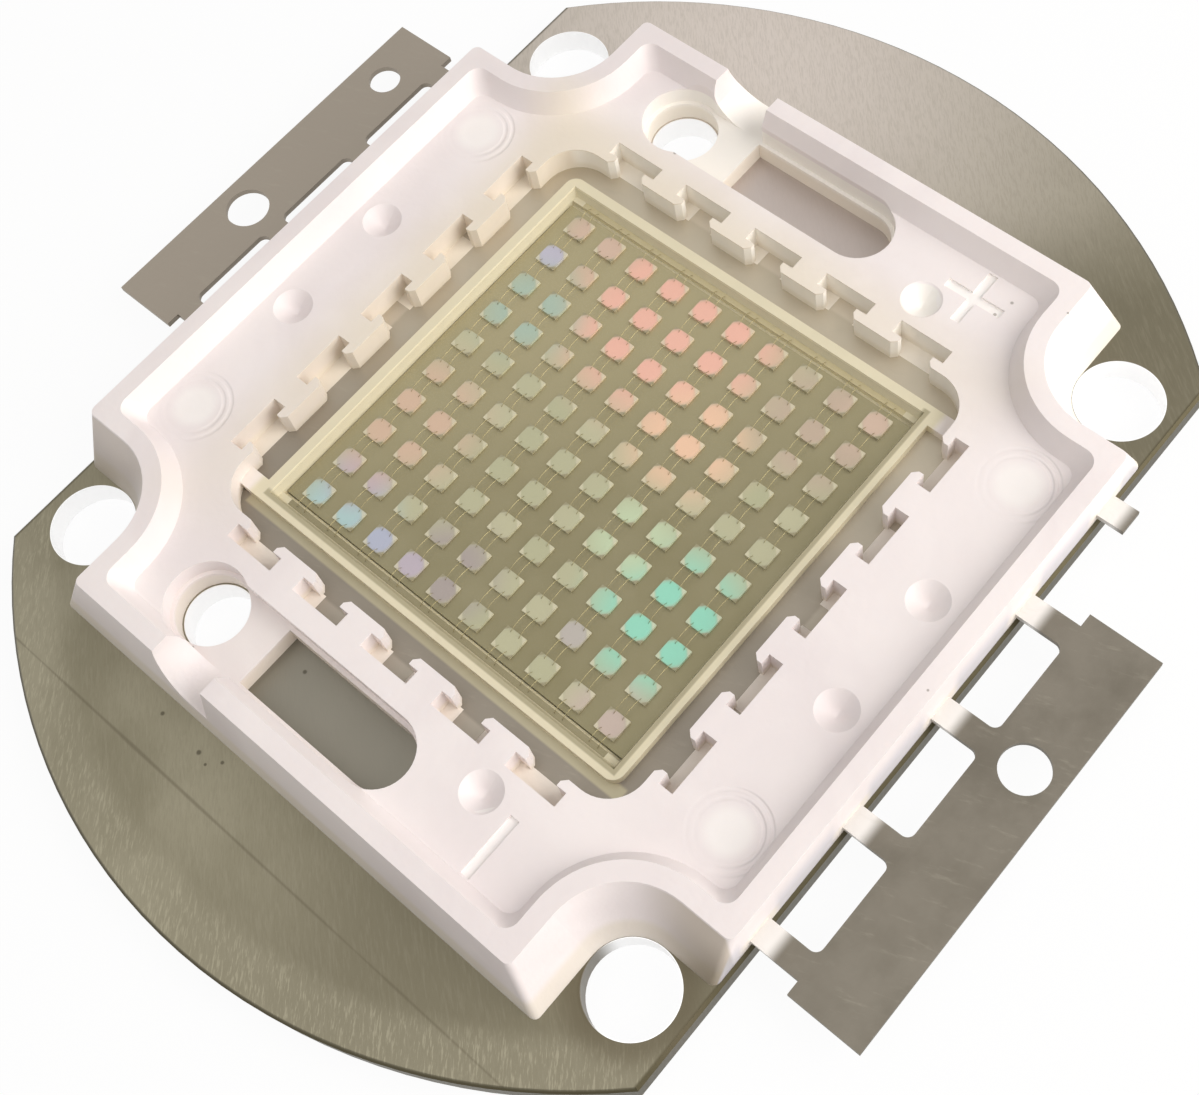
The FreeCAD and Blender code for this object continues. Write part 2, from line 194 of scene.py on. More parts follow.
def distance_to(tree, x, y, centre):
    """Distance in the plane from a point given in millimetres."""
    across = add(tree, "Math", x, centre[0], **MINUS)
    along = add(tree, "Math", y, centre[1], **MINUS)
    square = add(tree, "Math", across, across, **TIMES)
    square = add(tree, "Math", along, along, square, **TIMES_PLUS)
    return add(tree, "Math", square, operation="SQRT")


def square_reach(tree, x, y):
    """The larger of |x| and |y|, whose level lines are squares round the middle."""
    across = add(tree, "Math", x, operation="ABSOLUTE")
    along = add(tree, "Math", y, operation="ABSOLUTE")
    return add(tree, "Math", across, along, operation="MAXIMUM")


print("a place in metres is multiplied by", round(1 / MM))

# %% Layers of paint and rubbed marks
def new_material(name):
    """An empty material and its node tree."""
    material = bpy.data.materials.new(name)
    material.use_nodes = True
    material.node_tree.nodes.clear()
    return material, material.node_tree


def surface(tree, **inputs):
    """Ends a material: the Principled shader with these inputs, joined to the output."""
    shader = add(tree, "BsdfPrincipled", **inputs)
    add(tree, "OutputMaterial", shader)


def paint(tree, base, tone, mask, strength=1.0):
    """Lays a tone over a colour where the mask is one, as thickly as the strength says."""
    share = add(tree, "Math", mask, strength, **TIMES)
    return add(tree, "Mix", share, base, tone, **COLOUR)


def rubbed(tree, place, widths, turn, detail=4.0, roughness=0.6):
    """Noise drawn out in one direction: marks of these widths in mm, turned by degrees about Z."""
    drawn = add(tree, "Mapping", place, Scale=(*widths, 1.0), Rotation=(0, 0, math.radians(turn)),
                vector_type="TEXTURE")
    return add(tree, "TexNoise", drawn, 1.0, detail, roughness)


def specks(tree, x, y, base, tone, spots):
    """Small round dirt specks: each spot is its place and its radius in mm."""
    for across, along, radius in spots:
        away = distance_to(tree, x, y, (across, along))
        base = paint(tree, base, tone, add(tree, "MapRange", away, radius, radius * 0.4, **SMOOTH), 0.7)
    return base


print("helpers ready")

# %% [markdown]
# ## Light, floor and background
# A photographer would shoot such a module in a light tent. Here a dim white world is the tent. A
# soft panel low on the near right side is the window that brightens the walls that face it, and its
# light falls off over the object because it stands close. A weaker panel hangs overhead, a little
# to the left. The floor is pale and keeps the object's shadow. The camera, and what metal or glass
# mirrors, see floor and world as white paper.

# %% World
WORLD_LEVEL = 0.385
world = bpy.data.worlds.new("tent")
bpy.context.scene.world = world
world.use_nodes = True
sky = world.node_tree
sky.nodes.clear()


def seen_directly(tree):
    """One for rays from the camera, from a mirror or through glass, and zero for plain light."""
    mirrored = add(tree, "LightPath", take="Is Glossy Ray")
    path = mirrored.node.outputs
    bent = add(tree, "Math", mirrored, path["Is Transmission Ray"], operation="MAXIMUM")
    return add(tree, "Math", bent, path["Is Camera Ray"], operation="MAXIMUM")


dim = add(sky, "Background", "#FFFDFB", WORLD_LEVEL)
paper = add(sky, "Background", "#FFFFFF", 1.0)
add(sky, "OutputWorld", add(sky, "MixShader", seen_directly(sky), dim, paper))
print("world level:", WORLD_LEVEL)

# %% Lamps
def soft_panel(name, place_in_mm, size_in_mm, level, colour):
    """A square area lamp that points at the middle of the object.

    A level of one lights a white sheet, which lies there and faces it, just to white.
    """
    data = bpy.data.lights.new(name, "AREA")
    data.shape = "SQUARE"
    data.size = size_in_mm * MM
    data.color = linear(colour)[:3]
    place = Vector(place_in_mm) * MM
    data.energy = level * math.pi * math.pi * place.length_squared
    lamp = bpy.data.objects.new(name, data)
    lamp.location = place
    lamp.rotation_euler = (-place).to_track_quat("-Z", "Y").to_euler()
    bpy.context.collection.objects.link(lamp)


soft_panel("window", (72, -139, 99), 175, 1.06, "#FFFBF8")
soft_panel("overhead", (-95, 10, 255), 180, 0.18, "#FFFEFC")

# %% [markdown]
# ## The floor
# A large sheet of white paper, just under the plate. A plane of a single face is all it takes. Its
# own light makes it white to the camera, and the part of it that is plain matt paper lets the
# shadow of the object show. More light on the object would whiten it too, but spoil every colour.

# %% Floor
FLOOR_HALF = 900 * MM
FLOOR_DROP = 0.02 * MM          # keeps the sheet clear of the plate's underside
GLOW_SHARE = 0.94

floor_shape = bmesh.new()
bmesh.ops.create_grid(floor_shape, x_segments=1, y_segments=1, size=FLOOR_HALF)
floor_mesh = bpy.data.meshes.new("floor")
floor_shape.to_mesh(floor_mesh)
floor_shape.free()
floor = bpy.data.objects.new("floor", floor_mesh)
floor.location.z = -FLOOR_DROP
bpy.context.collection.objects.link(floor)
floor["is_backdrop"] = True

paper_material, sheet = new_material("white_paper")
matt = add(sheet, "BsdfDiffuse", "#F4F3F2")
glow = add(sheet, "Emission", "#FFFFFF", 1.0)
share = add(sheet, "Math", seen_directly(sheet), GLOW_SHARE, **TIMES)
add(sheet, "OutputMaterial", add(sheet, "MixShader", share, matt, glow))
floor_mesh.materials.append(paper_material)
print("floor at", round(floor.location.z / MM, 3), "mm")

# %% [markdown]
# ## The base plate: nickel-plated copper
# The plate is stamped from copper and plated with dull nickel. The eye sees a warm grey, satin metal: fine
# rubbing marks across the plate, broad cloudy patches where the plating is thicker, a few dark specks, and
# one long scribed line at the left. Its sheared edge is painted darker, as painted shade. Under the clear
# fill the same plating looks olive. Painted shade darkens the plate round the near left hole and that hole's
# left wall, painted reflection whitens the walls of the holes, and painted light brightens the floors in the
# slots and the sides of the seat.
#
# A scanned picture of worn metal would be quick, but it repeats and stops at the piece's edge. Here
# each mark is a layer of paint under a mask, and the mask is noise drawn out to the mark's real
# width, or the distance from a known place. So every layer can be moved or taken off by itself.

# %% Where the holes of the plate are
def mount(name):
    """The record's entry for a mounting feature of that name."""
    return next(entry for entry in frame["record"]["mounts"] if entry["name"] == name)


pattern = mount("mounting_holes")["dims"]
HOLES = [((side_x * pattern["spacing_x_mm"] / 2, side_y * pattern["spacing_y_mm"] / 2), pattern["hole_r_mm"])
         for side_x in (-1, 1) for side_y in (-1, 1)]
for name in ("frame_screw_hole_left", "frame_screw_hole_right"):
    entry = mount(name)
    HOLES.append(((entry["pos_m"][0] / MM, entry["pos_m"][1] / MM), entry["dims"]["r_mm"]))
NEAR_LEFT_HOLE, NEAR_LEFT_RADIUS = HOLES[0]
print("holes in the plate:", len(HOLES))

# %% The plating and its rubbing marks
PALE_SPOT = (22.5, 10.5)        # near the plus end


def plating(tree, place, x, y, marks, fine):
    """Dull nickel with cloudy patches, paler round one spot, darker at the near side, and rubbed."""
    clouds = add(tree, "TexNoise", place, 1 / 9.0, 3.0, 0.55, Distortion=0.6)
    cloudy = add(tree, "MapRange", clouds, 0.35, 0.65, **SMOOTH)
    colour = add(tree, "Mix", cloudy, "#7D7763", "#8B8571", **COLOUR)
    spot = distance_to(tree, x, y, PALE_SPOT)
    colour = paint(tree, colour, "#CDC3BA", add(tree, "MapRange", spot, 29.0, 1.0, **SMOOTH))
    diagonal = add(tree, "Math", x, y, operation="ADD")
    darker = add(tree, "Math", add(tree, "MapRange", y, 4.0, -9.0, **SMOOTH),
                 add(tree, "MapRange", diagonal, 17.0, 6.0, **SMOOTH), **TIMES)
    colour = paint(tree, colour, "#6E6856", darker, 0.9)
    colour = paint(tree, colour, "#ACA592", add(tree, "MapRange", marks, 0.45, 0.70, **SMOOTH), 0.10)
    return paint(tree, colour, "#665F4D", add(tree, "MapRange", fine, 0.56, 0.36, **SMOOTH), 0.14)


print("pale spot of the plating at", PALE_SPOT, "mm")

# %% Scuffs, the scribed line and specks
SCRIBED_LINE = -23.4            # crosses the left end, parallel to Y
PLATE_SPECKS = [(-21.70, 4.60, 0.16), (-21.50, 7.30, 0.14), (-21.90, 3.95, 0.10), (-21.35, 3.40, 0.12),
                (-16.01, 3.54, 0.14)]


def scuffed(tree, place, x, rim, colour):
    """Scuffs in a band at the left rim, where plates rub against each other in the tray."""
    band = add(tree, "Math", add(tree, "MapRange", rim, 25.6, 26.8, **SMOOTH),
               add(tree, "MapRange", x, -14.0, -20.0, **SMOOTH), **TIMES)
    colour = paint(tree, colour, "#9C9682", band, 0.22)
    scuffs = add(tree, "MapRange", rubbed(tree, place, (0.08, 0.6), -52), 0.50, 0.66, **SMOOTH)
    return paint(tree, colour, "#B5AF98", add(tree, "Math", band, scuffs, **TIMES), 0.28)


def scribed(tree, place, x, y, colour):
    """The scribed line, a little uneven as by hand, and the dirt specks."""
    line = add(tree, "Math", add(tree, "Math", x, SCRIBED_LINE, **MINUS), operation="ABSOLUTE")
    line = add(tree, "Math", add(tree, "TexNoise", place, 1 / 6.0), 0.25, line, **TIMES_PLUS)
    colour = paint(tree, colour, "#544C3C", add(tree, "MapRange", line, 0.24, 0.12, **SMOOTH), 0.45)
    return specks(tree, x, y, colour, "#3E382C", PLATE_SPECKS)


print("specks on the plate:", len(PLATE_SPECKS))

# %% The plate inside the slots and under the fill
def slot_floors(tree, x, y, reach, colour):
    """In the slots of the frame the plate is painted a paler grey, painted light against the frame's shade
    that grows toward the plus end.
    """
    along = add(tree, "Math", y, operation="ABSOLUTE")
    inside = add(tree, "Math", add(tree, "MapRange", reach, *SLOT_BORDER, **SMOOTH),
                 add(tree, "MapRange", along, *SLOT_HALF, **SMOOTH), **TIMES)
    # Painted light: the slot floors are painted paler toward the plus end.
    toward_plus = add(tree, "MapRange", x, -15.0, 17.0, **SMOOTH)
    lit_slot_floor = add(tree, "Mix", toward_plus, "#827E74", "#BDB2AD", **COLOUR)
    return paint(tree, colour, lit_slot_floor, inside, 0.8)


def olive_seat(tree, place, x, y, z, reach, colour):
    """The seat under the dies looks olive through the fill, paler toward the far corner.

    Its sides stand deep in the gap before the bond ledges, and painted light makes them pale against the
    shade there.
    """
    patch = add(tree, "TexNoise", place, 1 / 3.2, 3.0, 0.6)
    seat = add(tree, "Mix", patch, "#817959", "#989074", **COLOUR)
    diagonal = add(tree, "Math", x, y, operation="ADD")
    seat = paint(tree, seat, "#B5AA87", add(tree, "MapRange", diagonal, -9.0, 16.0, **SMOOTH), 0.8)
    # Painted light on the sides of the seat, in the gap before the ledges.
    sides = add(tree, "MapRange", z, SEAT_LEVEL - 0.005, SEAT_LEVEL - 0.015, **SMOOTH)
    seat = paint(tree, seat, "#F2EBD2", sides, 0.45)
    return paint(tree, colour, seat, add(tree, "MapRange", reach, *INSIDE_DAM, **SMOOTH))


print("seat level in mm:", SEAT_LEVEL)

# %% Edges and holes of the plate
# Painted shade on the left wall of the near left hole is centred here.
HOLE_WALL_SHADE_PLACE = (NEAR_LEFT_HOLE[0] - 0.9, NEAR_LEFT_HOLE[1] + 1.3)     # on the hole's left wall


def sheared_edges(tree, y, rim, colour):
    """The sheared edge is rough and painted dark, as painted shade, all round and along the two flats."""
    along = add(tree, "Math", y, operation="ABSOLUTE")
    edge = add(tree, "Math",
               add(tree, "MapRange", rim, PLATE_RADIUS_MM - 0.20, PLATE_RADIUS_MM - 0.06, **SMOOTH),
               add(tree, "MapRange", along, PLATE_FLAT_MM - 0.28, PLATE_FLAT_MM - 0.12, **SMOOTH),
               operation="MAXIMUM")
    return paint(tree, colour, "#4F4936", edge)


def punched_holes(tree, x, y, colour):
    """Hole walls painted white, a painted reflection of the paper, and painted shade round the near left hole
    and on its left wall.
    """
    near = distance_to(tree, x, y, NEAR_LEFT_HOLE)
    # Painted shade in a ring round the near left hole.
    ring = add(tree, "MapRange", near, NEAR_LEFT_RADIUS + 1.5, NEAR_LEFT_RADIUS + 0.2, **SMOOTH)
    colour = paint(tree, colour, "#5E5644", ring, 0.7)
    # Painted reflection: the walls of the holes are painted white.
    for centre, radius in HOLES:
        away = distance_to(tree, x, y, centre)
        wall = add(tree, "MapRange", away, radius + 0.04, radius + 0.01, **SMOOTH)
        colour = paint(tree, colour, "#FFFFFF", wall)
    # Painted shade on the left wall of the near left hole.
    hole_wall_shade = add(tree, "Math", add(tree, "MapRange", distance_to(tree, x, y, HOLE_WALL_SHADE_PLACE), 2.2, 1.2, **SMOOTH),
              add(tree, "MapRange", near, NEAR_LEFT_RADIUS + 0.2, NEAR_LEFT_RADIUS + 0.05, **SMOOTH), **TIMES)
    return paint(tree, colour, "#5E5644", hole_wall_shade, 0.9)


print("near left hole at", NEAR_LEFT_HOLE, "mm, radius", NEAR_LEFT_RADIUS)

# %% Base plate material
def plated_copper():
    """Satin nickel over copper: a warm grey metal with rubbing marks, cloudy patches and specks."""
    material, tree = new_material("nickel_plated_copper_satin")
    place, x, y, z = place_mm(tree)
    reach = square_reach(tree, x, y)
    rim = distance_to(tree, x, y, (0.0, 0.0))
    marks = rubbed(tree, place, (0.12, 1.1), -38)
    fine = rubbed(tree, place, (0.06, 0.5), -46, 3.0)
    colour = plating(tree, place, x, y, marks, fine)
    colour = scuffed(tree, place, x, rim, colour)
    colour = slot_floors(tree, x, y, reach, colour)
    colour = olive_seat(tree, place, x, y, z, reach, colour)
    colour = scribed(tree, place, x, y, colour)
    colour = sheared_edges(tree, y, rim, colour)
    colour = punched_holes(tree, x, y, colour)
    height = add(tree, "Math", fine, 0.6, marks, **TIMES_PLUS)
    surface(tree, Base_Color=colour, Metallic=0.85,
            Roughness=add(tree, "Math", marks, 0.15, 0.38, **TIMES_PLUS),
            Normal=add(tree, "Bump", Height=height, Strength=0.15, Distance=0.02 * MM))
    return material


PLATE = plated_copper()
nodes["base_plate"].data.materials.clear()
nodes["base_plate"].data.materials.append(PLATE)
print("plate material nodes:", len(PLATE.node_tree.nodes))

# %% [markdown]
# ## The frame: white high-temperature nylon
# The frame is injection moulded in a heat-proof white nylon that is filled with glass. It has a faintly pink,
# matt skin. Near the die field, most of all on the far side, low on the walls and on the dam, the plastic is
# cream. The mould's ejector pins leave thin double rings near the corners.
#
# The rings could be cut into the mesh, but they are less than a tenth of a millimetre deep, so a bump in the
# shader is enough. The tints follow the distance from the window, the height and the corner. Painted shade
# darkens the walls of the two left corners, the near wall between the strips and the inner edge of the dam on
# the near sides, and painted light whitens the walls below the skin on the plus side and the floors of the
# sunk signs.

# %% The skin of the frame
def nylon_skin(tree, x, y, z, flow, reach):
    """Faintly pink white, with a cream tint near the window on the far side and low on the walls, and painted
    light on the walls below the skin on the plus side.
    """
    cloudy = add(tree, "MapRange", flow, 0.3, 0.7, **SMOOTH)
    colour = add(tree, "Mix", cloudy, "#EDE4E3", "#F5EDEB", **COLOUR)
    ragged = add(tree, "Math", flow, 1.6, reach, **TIMES_PLUS)
    diagonal = add(tree, "Math", x, y, operation="ADD")
    tint = add(tree, "Math", add(tree, "MapRange", ragged, 17.0, 13.4, **SMOOTH),
               add(tree, "MapRange", diagonal, -9.0, 14.0, **SMOOTH), **TIMES)
    colour = paint(tree, colour, "#E6DABD", tint, 0.6)
    # Painted light whitens the walls below the skin on the plus side.
    below = add(tree, "Math", add(tree, "MapRange", z, FACE_LEVEL - 0.02, FACE_LEVEL - 0.10, **SMOOTH),
                add(tree, "MapRange", x, 11.8, 12.2, **SMOOTH), **TIMES)
    colour = paint(tree, colour, "#FFFBF3", below, 0.8)
    return paint(tree, colour, "#E8DECC", add(tree, "MapRange", z, 2.6, 2.1, **SMOOTH), 0.6)


def cream_dam_with_shade(tree, x, y, reach, colour):
    """The dam is cream, and on the two near sides its inner edge is darkened with painted shade."""
    colour = paint(tree, colour, "#E2D9BC", add(tree, "MapRange", reach, *DAM_FOOT, **SMOOTH))
    # Painted shade on the inner edge of the dam on the two near sides.
    lowest = add(tree, "Math", x, y, operation="MINIMUM")
    shaded_inner_edge = add(tree, "Math", add(tree, "MapRange", reach, 11.10, 11.00, **SMOOTH),
                add(tree, "MapRange", lowest, -10.6, -10.8, **SMOOTH), **TIMES)
    return paint(tree, colour, "#9C9373", shaded_inner_edge, 0.75)


print("the face of the frame is at", FACE_LEVEL, "mm")

# %% Painted shade on the left corners and on the near wall
CORNER_SHADES = ((-1, 0.5, 5.0, 0.85), (1, -4.0, 2.0, 0.55))   # side, where it starts and is full, strength
STRIP_PITCH = 6.05              # from one connecting strip of a lead frame to the next


def shaded_corners(tree, x, y, z, colour):
    """Painted shade darkens the walls of the two left corners, most of all at their feet."""
    # Painted shade, darker toward the feet of the walls.
    corner_shade = add(tree, "Mix", add(tree, "MapRange", z, 4.3, 1.8, **SMOOTH), "#CBBFAF", "#8F826C", **COLOUR)
    below_rim = add(tree, "MapRange", z, RIM_TOP_MM - 0.04, RIM_TOP_MM - 0.12, **SMOOTH)
    for side, start, full, strength in CORNER_SHADES:
        away = distance_to(tree, x, y, (NEAR_LEFT_HOLE[0], -side * NEAR_LEFT_HOLE[1]))
        wall = add(tree, "Math", add(tree, "MapRange", away, 4.4, 4.2, **SMOOTH), below_rim, **TIMES)
        round_corner = add(tree, "Math", y, side, x, **TIMES_PLUS)
        along = add(tree, "MapRange", round_corner, start, full, **SMOOTH)
        colour = paint(tree, colour, corner_shade, add(tree, "Math", wall, along, **TIMES), strength)
    return colour


def shaded_wall_between_strips(tree, x, y, reach, colour):
    """Between the strips the near wall gets painted shade, duller and a little blue."""
    strips = add(tree, "Math", x, STRIP_PITCH, operation="DIVIDE")
    from_strip = add(tree, "Math", strips, add(tree, "Math", strips, operation="ROUND"), **MINUS)
    from_strip = add(tree, "Math", from_strip, operation="ABSOLUTE")
    shade_between_strips = add(tree, "Math", add(tree, "MapRange", from_strip, 0.14, 0.24, **SMOOTH),
               add(tree, "MapRange", y, -19.76, -19.82, **SMOOTH), **TIMES)
    shade_between_strips = add(tree, "Math", shade_between_strips, add(tree, "MapRange", reach, 21.0, 19.9, **SMOOTH), **TIMES)
    # Painted shade on the near wall between the strips.
    return paint(tree, colour, "#BFBEC9", shade_between_strips, 0.7)


print("stained corners:", len(CORNER_SHADES))

# %% Signs and specks on the frame
SIGN_PLACE = (16.7, -9.3)       # the plus sign, and the minus sign on the other side
SIGN_REACH = 1.7
FRAME_SPECKS = [(16.6, -10.55, 0.12), (17.5, -10.85, 0.11), (17.91, -13.52, 0.08), (-0.47, -19.45, 0.08),
                (15.0, 8.88, 0.12), (14.89, 7.53, 0.11), (-18.49, 7.97, 0.10)]


def lit_signs_and_specks(tree, x, y, z, colour):
    """The floors of the sunk plus and minus signs are painted whiter than the skin, as painted light against
    the shade of the recess.
    """
    sunk = add(tree, "MapRange", z, FACE_LEVEL - 0.06, FACE_LEVEL - 0.11, **SMOOTH)
    for side in (-1, 1):
        away = distance_to(tree, x, y, (side * SIGN_PLACE[0], SIGN_PLACE[1]))
        sign = add(tree, "MapRange", away, SIGN_REACH + 0.05, SIGN_REACH, **SMOOTH)
        # Painted light on the floors of the sunk signs.
        colour = paint(tree, colour, "#FFFAF7", add(tree, "Math", sign, sunk, **TIMES), 0.7)
    return specks(tree, x, y, colour, "#8B8379", FRAME_SPECKS)


print("specks on the frame:", len(FRAME_SPECKS))

# %% Ejector pin rings
PIN_PLACES = [(side_x * 10.0, side_y * 16.6) for side_x in (-1, 1) for side_y in (-1, 1)]
PIN_RINGS = (1.43, 1.80)
RING_DEPTH = 0.04
GRAIN_SIZE, GRAIN_DEPTH = 0.35, 0.012


def pin_rings(tree, place, x, y, colour):
    """Colour and height in mm of the skin: fine grain, and double rings with a paler middle.

    The pins stood a little askew, so the rings are deep on one side and fade out on the other.
    """
    grain = add(tree, "TexNoise", place, 1 / GRAIN_SIZE, 2.0)
    height = add(tree, "Math", grain, GRAIN_DEPTH, **TIMES)
    for centre in PIN_PLACES:
        away = distance_to(tree, x, y, centre)
        lean = add(tree, "Math", add(tree, "Math", x, centre[0], **MINUS), 0.6, **TIMES)
        lean = add(tree, "Math", add(tree, "Math", y, centre[1], **MINUS), -0.8, lean, **TIMES_PLUS)
        deepest = 1.0 if centre[1] < 0 else 0.6
        deep = add(tree, "MapRange", lean, -1.2, 1.3, 0.1, deepest, **SMOOTH)
        for ring in PIN_RINGS:
            off_ring = add(tree, "Math", add(tree, "Math", away, ring, **MINUS), operation="ABSOLUTE")
            groove = add(tree, "MapRange", off_ring, 0.14, 0.03, 0.0, -RING_DEPTH, **SMOOTH)
            height = add(tree, "Math", groove, deep, height, **TIMES_PLUS)
        colour = paint(tree, colour, "#FBF6F2", add(tree, "MapRange", away, 1.4, 0.7, **SMOOTH), 0.8)
    return colour, height


print("ejector pins:", len(PIN_PLACES))

# %% Frame material
def white_nylon():
    """Moulded white nylon: matt, faintly pink, cream round the dies, with ejector pin rings."""
    material, tree = new_material("white_nylon_moulded_matt")
    place, x, y, z = place_mm(tree)
    reach = square_reach(tree, x, y)
    flow = add(tree, "TexNoise", place, 1 / 7.0, 3.0, 0.5, Distortion=0.8)
    colour = nylon_skin(tree, x, y, z, flow, reach)
    colour = cream_dam_with_shade(tree, x, y, reach, colour)
    colour = shaded_corners(tree, x, y, z, colour)
    colour = shaded_wall_between_strips(tree, x, y, reach, colour)
    colour = lit_signs_and_specks(tree, x, y, z, colour)
    colour, height = pin_rings(tree, place, x, y, colour)
    surface(tree, Base_Color=colour, Roughness=add(tree, "Math", flow, 0.15, 0.42, **TIMES_PLUS),
            Subsurface_Weight=0.12, Subsurface_Radius=(1.0, 0.9, 0.8), Subsurface_Scale=0.4 * MM,
            Normal=add(tree, "Bump", Height=height, Strength=1.0, Distance=1.0 * MM))
    return material


NYLON = white_nylon()
nodes["frame"].data.materials.clear()
nodes["frame"].data.materials.append(NYLON)
print("frame material nodes:", len(NYLON.node_tree.nodes))

# %% [markdown]
# ## The lead frames: silver-plated copper strip
# Both lead frames are stamped from thin strip and plated with silver, which tarnishes to a warm grey. The
# tabs are even and matt, and the far one is painted lighter, as painted reflection. The rails beside the dam
# are painted paler towards the far corner, painted light for what the walls round them throw back. Painted
# reflection brightens each strip where it leaves the plastic on the near side, and painted light lifts the
# sides of the bond ledges and the foot of the dam on the left. One material serves both strips: a single
# piece of plating differs from place to place, and a second material would only show a seam where they meet.

# %% Rails and ledges of the lead frames
NOTCH_FLOORS = (12.85, 13.05)   # from the rail to the floors of the window's notches


def rail_colour(tree, x, y, reach):
    """The rails beside the dam, painted paler toward the far corner as painted light, with pale floors in the
    notches and a painted light line along the left foot.
    """
    diagonal = add(tree, "Math", y, 0.3, x, **TIMES_PLUS)
    toward_plus = add(tree, "MapRange", diagonal, -10.0, 12.0, **SMOOTH)
    rail = add(tree, "Mix", toward_plus, "#8D8579", "#BDB3A0", **COLOUR)
    notches = add(tree, "Math", add(tree, "MapRange", reach, *NOTCH_FLOORS, **SMOOTH),
                  add(tree, "MapRange", diagonal, -4.0, 12.0, 0.4, 1.0, **SMOOTH), **TIMES)
    rail = paint(tree, rail, "#D2C8B8", notches, 0.6)
    # Painted light: a pale line along the foot of the dam on the left side, against the shade there.
    foot = add(tree, "Math", add(tree, "MapRange", reach, 11.85, 11.70, **SMOOTH),
               add(tree, "MapRange", x, -11.0, -11.2, **SMOOTH), **TIMES)
    return paint(tree, rail, "#C9C09E", foot, 0.5)


def ledge_colour(tree, x, z):
    """The bond ledges lie under the fill and look olive. The far one is paler, and painted light makes the
    sides pale against the shade of the gap.
    """
    ledge = add(tree, "Mix", add(tree, "MapRange", x, -9.0, 9.0), "#8F866A", "#C6BA96", **COLOUR)
    sides = add(tree, "MapRange", z, STRIP_TOP_MM - 0.01, STRIP_TOP_MM - 0.03, **SMOOTH)
    return paint(tree, ledge, "#F2EBD2", sides, 0.9)


print("strip top in mm:", round(STRIP_TOP_MM, 3))

# %% Lead frame material
RAIL_BORDER = (14.6, 14.4)      # from the tabs to the part of the strip inside the window


def plated_strip():
    """Silver-plated strip, slightly tarnished: a satin grey with short bright marks."""
    material, tree = new_material("silver_plated_strip_satin")
    place, x, y, z = place_mm(tree)
    reach = square_reach(tree, x, y)
    clouds = add(tree, "TexNoise", place, 1 / 4.0, 4.0, 0.6)
    cloudy = add(tree, "MapRange", clouds, 0.3, 0.7, **SMOOTH)
    colour = add(tree, "Mix", cloudy, "#6D675C", "#7B756A", **COLOUR)
    # Painted reflection: the far tab is painted lighter.
    colour = paint(tree, colour, "#A3998C", add(tree, "MapRange", y, -10.0, 20.0, **SMOOTH), 0.8)
    rail = rail_colour(tree, x, y, reach)
    colour = paint(tree, colour, rail, add(tree, "MapRange", reach, *RAIL_BORDER, **SMOOTH))
    ledge = ledge_colour(tree, x, z)
    colour = paint(tree, colour, ledge, add(tree, "MapRange", reach, *INSIDE_DAM, **SMOOTH))
    # Painted reflection: each strip is painted bright where it leaves the plastic on the near side, where it
    # mirrors the lit wall.
    bright = add(tree, "Math", add(tree, "MapRange", y, -21.2, -20.5, **SMOOTH),
                 add(tree, "MapRange", y, -19.0, -19.4, **SMOOTH), **TIMES)
    colour = paint(tree, colour, "#EFECE8", bright, 0.8)
    rubs = rubbed(tree, place, (0.35, 1.8), 20, 4.0, 0.65)
    colour = paint(tree, colour, "#ACA696", add(tree, "MapRange", rubs, 0.55, 0.8, **SMOOTH), 0.25)
    pits = add(tree, "TexNoise", place, 1 / 0.25, 3.0)
    surface(tree, Base_Color=colour, Metallic=0.9,
            Roughness=add(tree, "Math", clouds, 0.3, 0.36, **TIMES_PLUS),
            Normal=add(tree, "Bump", Height=pits, Strength=0.25, Distance=0.02 * MM))
    return material


STRIP = plated_strip()
for name in ("negative_lead_frame", "positive_lead_frame"):
    nodes[name].data.materials.clear()
    nodes[name].data.materials.append(STRIP)
print("lead frames dressed")

# %% [markdown]
# ## The dies: gallium nitride on sapphire
# Each die is a thin transparent chip with fine layers, so it mirrors pale colours that change with
# the direction, like an oil film. All dies lie in one plane, so the colour drifts slowly over the
# field: salmon at the far right, mint at the near side, lavender at the left corners. A shader
# could work the film out from the angle of view, but small changes in the layers shift it too, so
# soft round regions, laid over each other, draw that drift where it lies. Two opposite corners of
# every die carry its pale contact pads, the two others are blunt and dark, and its rim is duller
# than its middle.

# %% Regions of film colour
FILM_REGIONS = [                            # centre, full inside, gone outside, tone
    ((8.0, 1.6), 3.2, 7.4, "#FFC3B2"),      # salmon in the far half
    ((3.4, -3.0), 1.0, 4.4, "#FFD3B4"),
    ((9.4, 8.0), 0.8, 3.0, "#DEC0AE"),
    ((7.2, 9.3), 0.4, 1.8, "#C8C6DC"),
    ((-4.2, -8.0), 1.6, 5.2, "#98E8D0"),    # mint on the near side
    ((-2.0, -4.0), 0.6, 3.2, "#CDE0BC"),
    ((-8.6, 1.6), 1.0, 3.6, "#B0A4A4"),     # brown grey and lavender on the left
    ((-9.4, 7.6), 1.0, 3.6, "#B6D8DC"),
    ((-9.4, 5.2), 0.6, 1.9, "#BCC2DC"),
    ((-9.4, 3.1), 0.5, 1.6, "#C8BCCC"),
    ((-7.4, 8.2), 0.6, 2.4, "#C8B8C6"),
    ((-7.2, -5.2), 0.5, 1.8, "#C4BCB8"),
    ((-3.6, 8.6), 1.5, 5.0, "#E2C1AA"),     # beige at the far left, grey green beside it
    ((4.2, 8.0), 1.0, 3.6, "#B0C8BA"),
    ((7.6, -7.6), 1.5, 4.6, "#CAB4A2"),     # brown pink at the near right
    ((9.4, -9.4), 0.5, 2.6, "#DEC2B0"),
    ((-9.4, -8.9), 0.6, 2.8, "#D2BEB6"),
]


